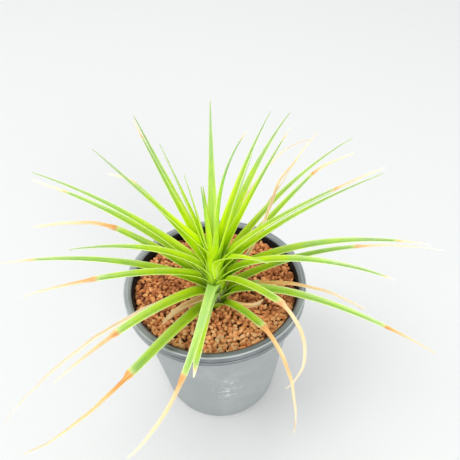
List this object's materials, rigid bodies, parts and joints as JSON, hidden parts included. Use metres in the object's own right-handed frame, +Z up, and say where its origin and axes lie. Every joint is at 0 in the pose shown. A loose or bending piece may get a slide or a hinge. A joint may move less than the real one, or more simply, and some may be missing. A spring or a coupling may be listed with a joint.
{
  "type": "potted bromeliad",
  "caption": "Rosette of narrow channelled leaves, many with dry tips, on a short stem in a round plastic nursery pot of clay granules.",
  "frame": {"origin": "centre of the pot's underside, on the surface that the pot stands on", "axes": "+Z up along the pot's axis; -Y is the side that the reference view looks from, +X is to its right"},
  "size_m": [0.2275, 0.1602, 0.1968],
  "materials": {
    "pot_plastic": "semi-matt moulded grey plastic",
    "clay_granules": null,
    "green_leaf": "living leaf, satin, faint lengthwise stripes, some with a dry tan tip",
    "dry_leaf": "dead leaf, matt straw"
  },
  "bodies": {
    "root": {"crown": "green_leaf", "leaf_back_2": "green_leaf", "leaf_back_3": "green_leaf", "leaf_front_20": "green_leaf", "leaf_front_21": "green_leaf", "leaf_left_10": "green_leaf", "leaf_left_11": "green_leaf", "leaf_left_12": "green_leaf", "leaf_left_13": "green_leaf", "leaf_left_14": "green_leaf", "leaf_left_16": "green_leaf", "leaf_left_17": "dry_leaf", "leaf_left_18": "dry_leaf", "leaf_left_19": "green_leaf", "leaf_left_2": "green_leaf", "leaf_left_3": "green_leaf", "leaf_left_8": "green_leaf", "leaf_left_9": "green_leaf", "leaf_right_10": "green_leaf", "leaf_right_12": "green_leaf", "leaf_right_13": "green_leaf", "leaf_right_14": "green_leaf", "leaf_right_15": "green_leaf", "leaf_right_17": "green_leaf", "leaf_right_18": "green_leaf", "leaf_right_19": "green_leaf", "leaf_right_20": "dry_leaf", "leaf_right_21": "green_leaf", "leaf_right_22": "dry_leaf", "leaf_right_4": "green_leaf", "leaf_right_6": "green_leaf", "leaf_right_7": "dry_leaf", "leaf_right_8": "dry_leaf", "leaf_right_9": "green_leaf", "pot": "pot_plastic", "soil": "clay_granules"}
  },
  "joints": []
}
